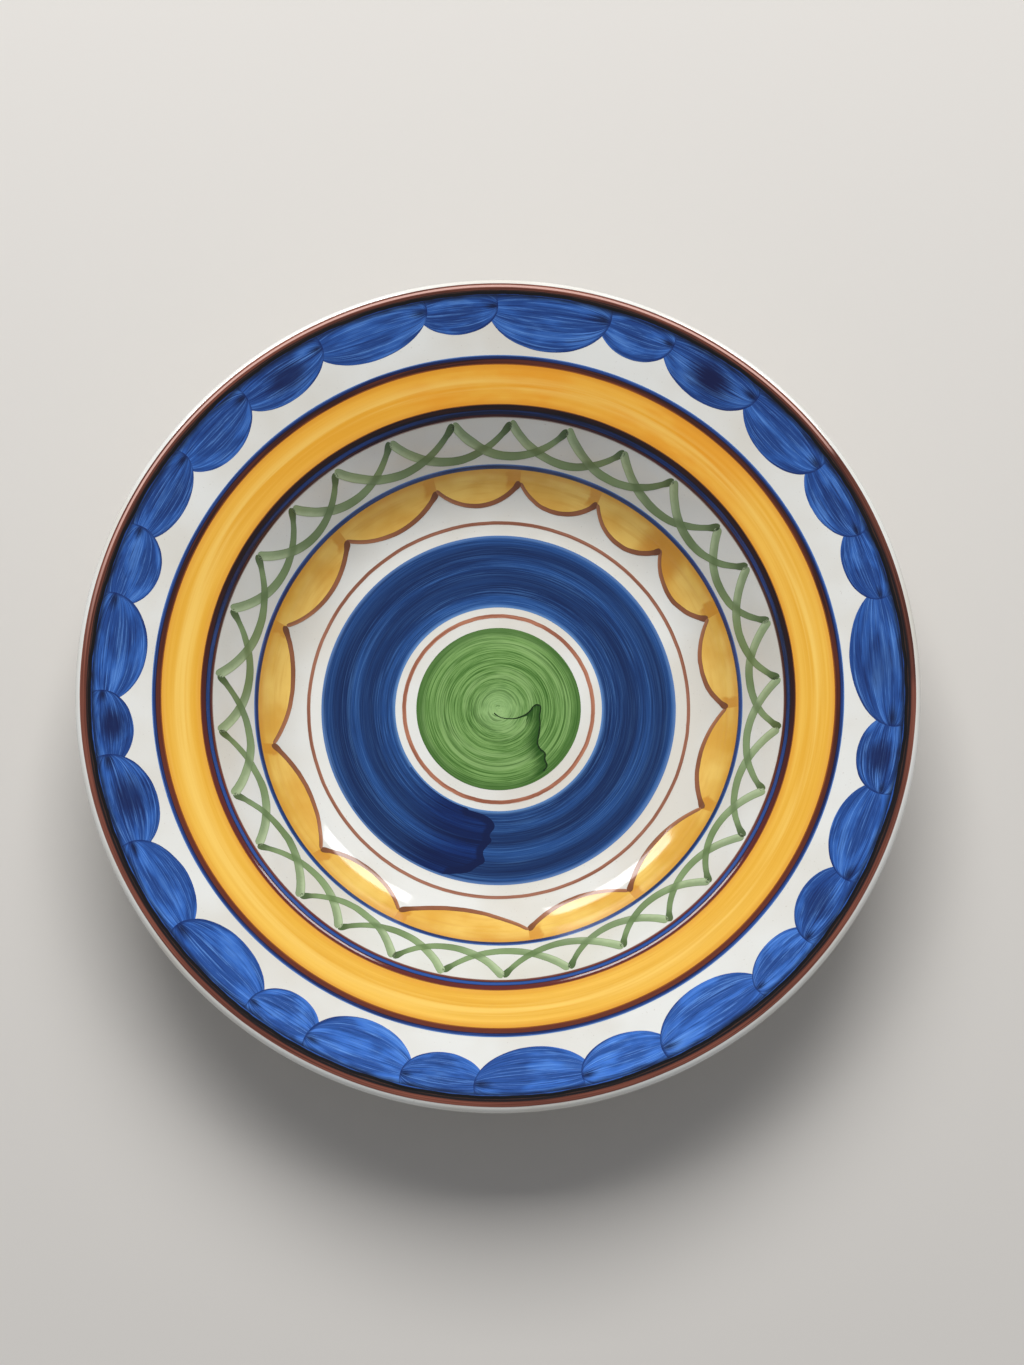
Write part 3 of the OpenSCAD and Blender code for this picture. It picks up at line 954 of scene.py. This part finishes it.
def make_blue_lap():
    width = BLUE_BAND_OUT - BLUE_BAND_IN
    edge = rounded_line([polar(BLUE_BAND_IN + width * share, angle) for angle, share in LAP_END])
    edge = spaced(edge, 0.6 * MM)
    back_out = [polar(BLUE_BAND_OUT + 2 * MM, angle) for angle in (210, 222, 234, 246)]
    back_in = [polar(BLUE_BAND_IN - 2 * MM, angle) for angle in (246, 234, 222, 210)]
    column = outline_column(back_out + edge + back_in)
    piece = coat_sector("brushed_blue_band_lap", BLUE_BAND_IN + 0.6 * MM, BLUE_BAND_OUT - 0.8 * MM,
                        LAP_START, 272, low=COAT / 2, high=SECOND_COAT)
    cut(piece, column, "INTERSECT")
    discard(column)
    behind_map(piece, edge)
    f = Finish("second blue coat")
    colour = blue_band_colour(f)
    far = f.own_map("behind")[0]
    fine = f.brushed_round(2000, 1.2, 8.0, 3.0, 0.7)
    ragged = f.calc("MULTIPLY_ADD", fine, 26.0, far)
    gone = f.rise(ragged, 42, 20)
    darker = f.mix(1.0, colour, srgb(118, 154, 196), kind="MULTIPLY")
    colour = f.mix(gone, colour, darker)
    bead = f.times(f.rise(f.calc("MULTIPLY_ADD", fine, 1.5, far), 4.2, 3.0), 0.9)
    colour = f.mix(bead, colour, srgb(5, 22, 66))
    stand_for(piece, "blue_band_lap", f.done(colour))


def make_green_heel():
    crisp, thread, side, back = (
        [polar(GREEN_R * share, angle) for angle, share in line]
        for line in (HEEL_EDGE, THREAD, THREAD_SIDE, HEEL_BACK)
    )
    crisp = spaced(rounded_line(crisp + thread), 0.5 * MM)
    column = outline_column(crisp + rounded_line(side) + back)
    upper = spaced(within(front(SECOND_COAT), 0.97 * GREEN_R), 0.5 * MM)
    lower = within(front(COAT / 2), 0.97 * GREEN_R)
    piece = turned("brushed_green_heel", upper + lower[::-1], steps=360)
    cut(piece, column, "INTERSECT")
    discard(column)
    behind_map(piece, crisp[len(crisp) // 8:])
    f = Finish("second green coat")
    colour = green_disc_colour(f)
    far = f.own_map("behind")[0]
    fine = f.brushed_round(1400, 1.2, 21.0, 4.0, 0.75)
    ragged = f.calc("MULTIPLY_ADD", fine, 11.0, far)
    gone = f.rise(ragged, 12.5, 6)
    colour = f.mix(gone, colour, srgb(40, 80, 22))
    bead = f.rise(f.calc("MULTIPLY_ADD", fine, 1.4, far), 1.7, 1.0)
    colour = f.mix(f.times(bead, 0.9), colour, srgb(12, 36, 8))
    stand_for(piece, "green_heel", f.done(colour))


make_blue_lap()

# ---------------------------------------------------------------- drawn strokes


def squeeze_columns(piece, columns, share):
    """Narrows or widens the stroke where it passes these places along its length."""
    edit()
    bpy.ops.mesh.select_mode(type="VERT")
    bpy.ops.mesh.select_all(action="DESELECT")
    leave_edit()
    for vertex in piece.data.vertices:
        vertex.select = round(vertex.co.x, 5) in columns
    edit()
    bpy.ops.transform.resize(value=(1, share, 1), center_override=(0, 0, 0))
    leave_edit()


def straight_stroke(width, taper, press):
    """A brush stroke one metre long on the flat. Its start, at +X, is round and wider by
    press; its end is round too, and the stroke widens towards it by taper."""
    bpy.ops.object.select_all(action="DESELECT")
    bpy.ops.mesh.primitive_grid_add(
        x_subdivisions=90, y_subdivisions=6, size=1, calc_uvs=True, location=(0, 0, 0)
    )
    piece = bpy.context.object
    piece.name = "straight stroke"
    piece.scale = (1, width, 1)
    settle()
    widen = piece.modifiers.new("widen", "SIMPLE_DEFORM")
    widen.deform_method = "TAPER"
    widen.deform_axis = "X"
    widen.factor = -taper
    apply_all(piece)
    rows = sorted({round(vertex.co.x, 5) for vertex in piece.data.vertices})
    for k, swell in enumerate((1.0, 1.0, 1.0, 1.0, 0.9, 0.7, 0.45, 0.2)):
        squeeze_columns(piece, rows[-1 - k:][:1], 1 + press * swell)
    for k, share in enumerate((0.42, 0.8, 0.95)):
        squeeze_columns(piece, [rows[-1 - k], rows[k]], share)
    return piece


def bow(first, last, tip_r, low_r):
    """The arc of a hanging stroke between two angles: its centre, radius and half swing."""
    half, middle = math.radians(last - first) / 2, (first + last) / 2
    chord, sag = tip_r * math.sin(half), tip_r * math.cos(half) - low_r
    bow_r = (chord ** 2 + sag ** 2) / (2 * sag)
    return polar(low_r + bow_r, middle), bow_r, math.asin(chord / bow_r)


def lay_stroke(master, glaze, first, last, tip_r, low_r, lift):
    """Copies the straight stroke, bends it to hang between two angles and lays it down."""
    _, bow_r, swing = bow(first, last, tip_r, low_r)
    middle = (first + last) / 2
    piece = master.copy()
    piece.data = master.data.copy()
    bpy.context.collection.objects.link(piece)
    select_only(piece)
    piece.scale.x = 2 * bow_r * swing
    settle()
    curl = piece.modifiers.new("curl", "SIMPLE_DEFORM")
    curl.deform_method = "BEND"
    curl.deform_axis = "Z"
    curl.angle = 2 * swing
    apply_all(piece)
    piece.rotation_euler.z = math.radians(middle - 90 + chance.uniform(-0.8, 0.8))
    piece.location = (*polar(low_r + chance.uniform(-0.4, 0.4) * MM, middle), 80 * MM)
    settle()
    wander(piece, 0.5 * MM, 10 * MM, chance.uniform(0, 9))
    drop = piece.modifiers.new("drop", "SHRINKWRAP")
    drop.target = glaze
    drop.wrap_method = "PROJECT"
    drop.use_project_x = drop.use_project_y = False
    drop.use_project_z = True
    drop.use_negative_direction = True
    drop.use_positive_direction = False
    drop.offset = lift
    thick = piece.modifiers.new("thick", "SOLIDIFY")
    thick.thickness = lift
    thick.offset = -1
    apply_all(piece)
    return piece


def mark_crossings(piece, arcs, half_width):
    """Marks where other strokes cross this one."""
    marks = piece.data.color_attributes.new("crossed", "FLOAT_COLOR", "POINT")
    for vertex, mark in zip(piece.data.vertices, marks.data):
        near = min(abs((vertex.co.xy - centre).length - radius) for centre, radius in arcs)
        share = max(0.0, min(1.0, 1.5 - near / half_width))
        mark.color = (share, share, share, 1)


def stroke_finish(name, deep, body, pale, crossed=None, press=0.8):
    """A thin watery stroke: dark where the brush landed, paler where it lifted."""
    f = Finish(name)
    along, across = f.own_map("UVMap")
    passed = f.calc("SUBTRACT", 1.0, along)
    grain = f.noise(f.place, 240, 3, 0.7)
    cloudy = f.noise(f.place, 55, 2)
    colour = f.mix(f.rise(cloudy, 0.3, 0.7), body, f.mix(0.4, body, deep))
    lifted = f.rise(passed, 0.5, 0.9)
    outer_side = f.rise(f.calc("MULTIPLY_ADD", grain, 0.5, across), 0.95, 0.35)
    colour = f.mix(f.times(lifted, f.calc("MULTIPLY_ADD", outer_side, 0.6, 0.3)),
                   colour, pale)
    rim = f.rise(f.calc("ABSOLUTE", f.calc("SUBTRACT", across, 0.5)), 0.36, 0.5)
    colour = f.mix(f.times(rim, 0.35), colour, deep)
    landed = f.rise(f.calc("MULTIPLY_ADD", grain, 0.08, passed), 0.2, 0.07)
    colour = f.mix(f.times(landed, press), colour, deep)
    if crossed:
        told = f.add("ShaderNodeAttribute", attribute_name="crossed")
        over = f.times(told.outputs["Fac"], 0.7)
        colour = f.mix(over, colour, crossed)
    return f.done(colour)


def make_lattice(glaze):
    tip_r, low_r = LATTICE_OUT - 1.1 * MM, WALL_BLUE_OUT + 2.5 * MM
    master = straight_stroke(2.6 * MM, 0.55, 0.4)
    count = len(LATTICE_TIPS)
    strokes, arcs = [], []
    for i, first in enumerate(LATTICE_TIPS):
        last = LATTICE_TIPS[(i + 2) % count]
        last += 360 if last < first else 0
        lift = COAT if i % 2 else SECOND_COAT
        strokes.append(lay_stroke(master, glaze, first, last, tip_r, low_r, lift))
        arcs.append(bow(first, last, tip_r, low_r)[:2])
    for i, stroke in enumerate(strokes):
        mark_crossings(stroke, [arcs[i - 1], arcs[(i + 1) % count]], 1.2 * MM)
    piece = joined("brushed_green_lattice", strokes)
    discard(master)
    finish = stroke_finish("lattice green", srgb(66, 86, 48), srgb(132, 154, 108),
                           srgb(184, 200, 160), crossed=srgb(94, 118, 72))
    stand_for(piece, "green_lattice", finish)


def wash_map(piece, first):
    """A map that says how many degrees each point of a wash lies past its start."""
    lay_map(piece, "wash", lambda place: ((angle_of(place) - first + 90) % 360 - 90, 0))


def make_scallops(glaze):
    master = straight_stroke(1.6 * MM, -0.3, 0.3)
    strokes, washes = [], []
    for i, first in enumerate(SCALLOP_CUSPS):
        last = SCALLOP_CUSPS[(i + 1) % len(SCALLOP_CUSPS)]
        last += 360 if last < first else 0
        lift = SECOND_COAT if i % 2 else SECOND_COAT + 0.04 * MM
        strokes.append(lay_stroke(master, glaze, first, last, CUSP_R, SCALLOP_LOW, lift))
        centre, bow_r, _ = bow(first, last, CUSP_R, SCALLOP_LOW)
        bpy.ops.object.select_all(action="DESELECT")
        bpy.ops.mesh.primitive_cylinder_add(
            vertices=180, radius=bow_r, depth=80 * MM, location=(*centre, 30 * MM)
        )
        bowl = bpy.context.object
        settle()
        wash = coat_sector("ochre wash", SCALLOP_LOW - 1 * MM, OCHRE_OUT, first, last)
        cut(wash, bowl, "INTERSECT")
        discard(bowl)
        wash_map(wash, first)
        washes.append(wash)
    outline = joined("brushed_scallop_outline", strokes)
    ochre = joined("brushed_ochre_scallops", washes)
    discard(master)
    stand_for(outline, "scallop_outline",
              stroke_finish("scallop brown", srgb(84, 46, 28), srgb(154, 98, 68),
                            srgb(176, 120, 86), press=0.45))
    stand_for(ochre, "ochre_scallops", ochre_finish())


def ochre_finish():
    """A thin ochre wash, deeper along the blue line and in a few heavy patches."""
    f = Finish("ochre")
    cloudy = f.noise(f.place, 45, 3)
    streak = f.brushed_round(700, 4.0, 31.0)
    colour = f.mix(f.rise(cloudy, 0.3, 0.7), srgb(222, 168, 68), srgb(240, 200, 104))
    colour = f.mix(f.times(f.rise(streak, 0.45, 0.7), 0.35), colour,
                   srgb(216, 156, 60))
    outer = f.rise(f.reach(0.8 * MM, 8), OCHRE_OUT - 2.6 * MM, OCHRE_OUT)
    passed = f.own_map("wash")[0]
    ragged = f.calc("MULTIPLY_ADD", f.noise(f.place, 160, 3), 4.0, passed)
    lapped = f.times(f.rise(ragged, 5.6, 4.6),
                     f.rise(f.radius, CUSP_R - 3 * MM, CUSP_R))
    heavy = f.near_angle(43, 3, 8)
    deeper = f.calc("MAXIMUM", f.times(outer, 0.6), f.times(heavy, 0.7))
    deeper = f.calc("MAXIMUM", deeper, f.times(lapped, 0.75))
    return f.done(f.mix(deeper, colour, srgb(206, 138, 44)))


glaze_on_front = bpy.data.objects["glaze_on_front"]
make_lattice(glaze_on_front)
make_scallops(glaze_on_front)
make_green_heel()

# ---------------------------------------------------------------- floor, camera and light

# The camera's lean from straight above in degrees, its distance, and its lens in millimetres.
CAMERA_LEAN, CAMERA_DISTANCE, CAMERA_LENS = 10.07, 1.1357, 79.1


def make_floor():
    bpy.ops.object.select_all(action="DESELECT")
    bpy.ops.mesh.primitive_plane_add(size=30, location=(0, 0, 0))
    floor = bpy.context.object
    floor.name = "floor"
    f = Finish("pale floor", roughness=0.6)
    floor.data.materials.append(f.done(srgb(206, 202, 196), glazed=False))


def make_camera():
    """Looks down on the plate from above, leaning a little towards its near side."""
    lean = math.radians(CAMERA_LEAN)
    target = Vector((5.3 * MM, 1.6 * MM, LIP_CENTRE.y))
    data = bpy.data.cameras.new("camera")
    data.lens = CAMERA_LENS
    camera = bpy.data.objects.new("camera", data)
    bpy.context.collection.objects.link(camera)
    camera.location = target + CAMERA_DISTANCE * Vector((0, -math.sin(lean), math.cos(lean)))
    camera.rotation_euler = (lean, 0, 0)
    bpy.context.scene.camera = camera


def make_window(name, azimuth, elevation, distance, width, height, power):
    """A soft rectangular light that faces the plate."""
    data = bpy.data.lights.new(name, "AREA")
    data.shape = "RECTANGLE"
    data.size, data.size_y = width, height
    data.energy = power
    light = bpy.data.objects.new(name, data)
    bpy.context.collection.objects.link(light)
    aside = polar(math.cos(math.radians(elevation)), azimuth)
    toward = Vector((*aside, math.sin(math.radians(elevation))))
    light.location = toward * distance
    light.rotation_euler = toward.to_track_quat("Z", "Y").to_euler()
    return light


make_floor()
make_camera()
# The low windows only show as reflections; the broad light above does the lighting.
for window in (
    make_window("left window", 118, 17, 1.8, 1.0, 0.8, 27),
    make_window("right window", 58, 17, 1.8, 0.75, 0.8, 18),
):
    window.visible_diffuse = False
overhead = make_window("overhead", 92, 55, 2.0, 1.3, 1.1, 43)
overhead.visible_glossy = False
world = bpy.data.worlds.new("soft room")
world.use_nodes = True
world.node_tree.nodes["Background"].inputs["Color"].default_value = srgb(235, 238, 245)
world.node_tree.nodes["Background"].inputs["Strength"].default_value = 0.32
bpy.context.scene.world = world
bpy.context.scene.view_settings.view_transform = "Standard"
